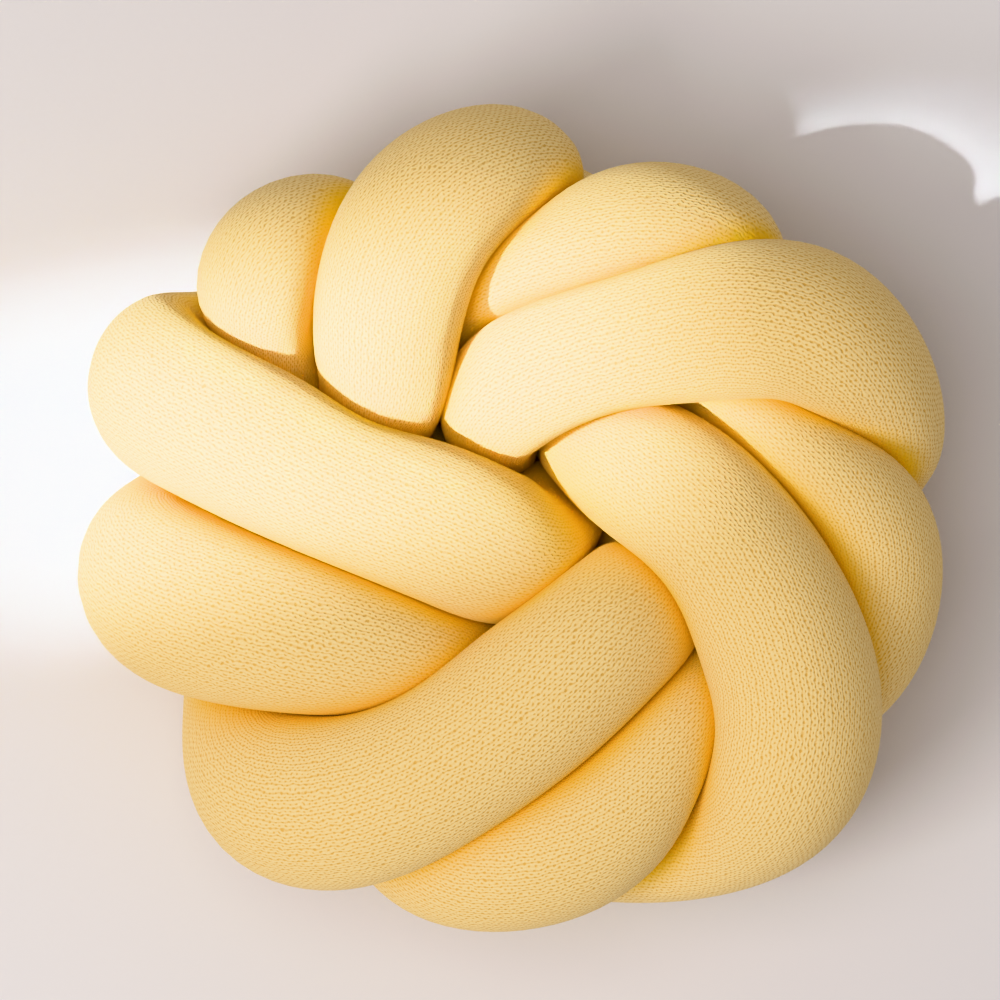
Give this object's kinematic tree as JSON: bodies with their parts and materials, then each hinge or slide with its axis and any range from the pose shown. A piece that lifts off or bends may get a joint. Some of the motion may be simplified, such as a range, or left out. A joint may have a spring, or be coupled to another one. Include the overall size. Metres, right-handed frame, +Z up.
{
  "type": "knotted cushion",
  "caption": "Round flat cushion knotted from one stuffed knit tube, its strands curling over the rim into the heart of the knot.",
  "frame": {"origin": "centre of the footprint on the floor, under the middle of the cushion", "axes": "+Z up out of the cushion's face, +X along its longest width, +Y towards the top of the face"},
  "size_m": [0.3984, 0.3818, 0.1656],
  "materials": {
    "knit_fabric": "soft matte plain knit"
  },
  "bodies": {
    "root": {"knotted_tube": "knit_fabric"}
  },
  "joints": []
}
